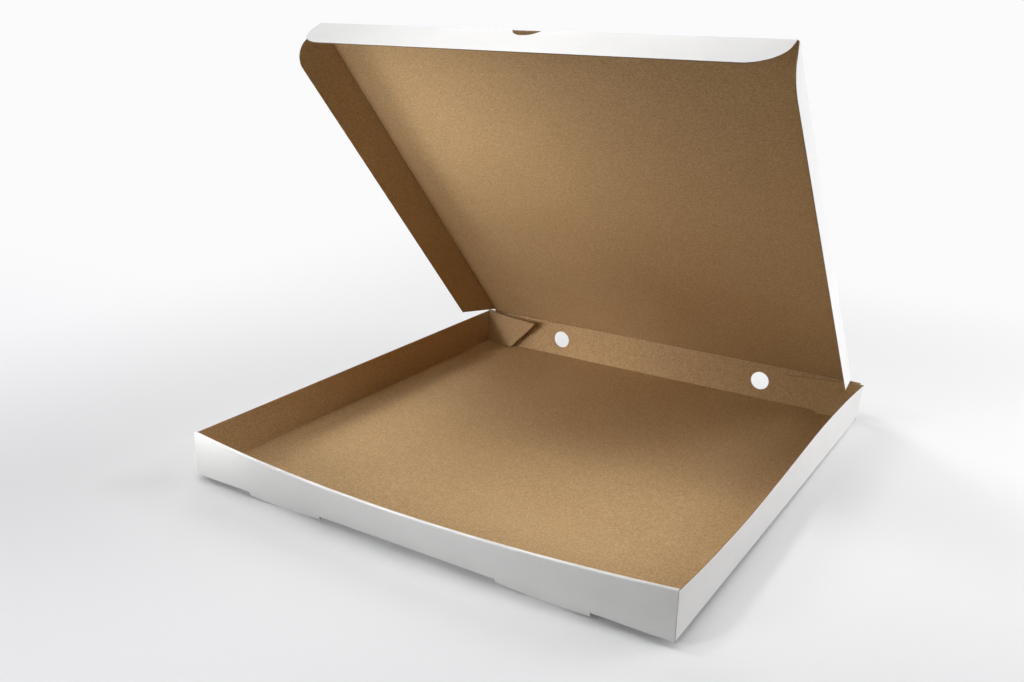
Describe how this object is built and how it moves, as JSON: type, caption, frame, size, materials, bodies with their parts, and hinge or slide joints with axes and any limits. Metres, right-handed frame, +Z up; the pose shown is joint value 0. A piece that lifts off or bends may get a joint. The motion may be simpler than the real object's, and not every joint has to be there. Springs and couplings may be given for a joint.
{
  "type": "pizza box",
  "caption": "Flat square folding-board box, white outside and kraft inside, with a roll-over front wall and a hinged lid with tuck flaps, for carrying a pizza.",
  "frame": {"origin": "middle of the base's underside, on the plane that the base rests on", "axes": "+X across the box to its right, -Y towards the open front, +Z up"},
  "size_m": [0.464, 0.4915, 0.3911],
  "materials": {
    "tray_board": "uncoated kraft inside, matt white outside",
    "lid_board": "uncoated kraft inside, matt white outside"
  },
  "bodies": {
    "tray": {"tray": "tray_board"},
    "lid": {"lid_panel": "lid_board"},
    "left_flap": {"lid_left_flap": "lid_board"},
    "right_flap": {"lid_right_flap": "lid_board"},
    "front_flap": {"lid_front_flap": "lid_board"}
  },
  "joints": [
    {"name": "lid_fold", "type": "hinge", "parent": "tray", "child": "lid", "pos_m": [0, 0.2376, 0.0415], "axis": [-1, 0, 0], "range_deg": [-48.5, 131.5]},
    {"name": "left_flap_fold", "type": "hinge", "parent": "lid", "child": "left_flap", "pos_m": [-0.22, 0.2376, 0.0415], "axis": [0, 0.6626, -0.749], "range_deg": [-12.13, 77.87]},
    {"name": "right_flap_fold", "type": "hinge", "parent": "lid", "child": "right_flap", "pos_m": [0.22, 0.2376, 0.0415], "axis": [0, -0.6626, 0.749], "range_deg": [-12.13, 77.87]},
    {"name": "front_flap_fold", "type": "hinge", "parent": "lid", "child": "front_flap", "pos_m": [0, -0.06694, 0.38572], "axis": [-1, 0, 0], "range_deg": [-18.14, 71.86]}
  ]
}
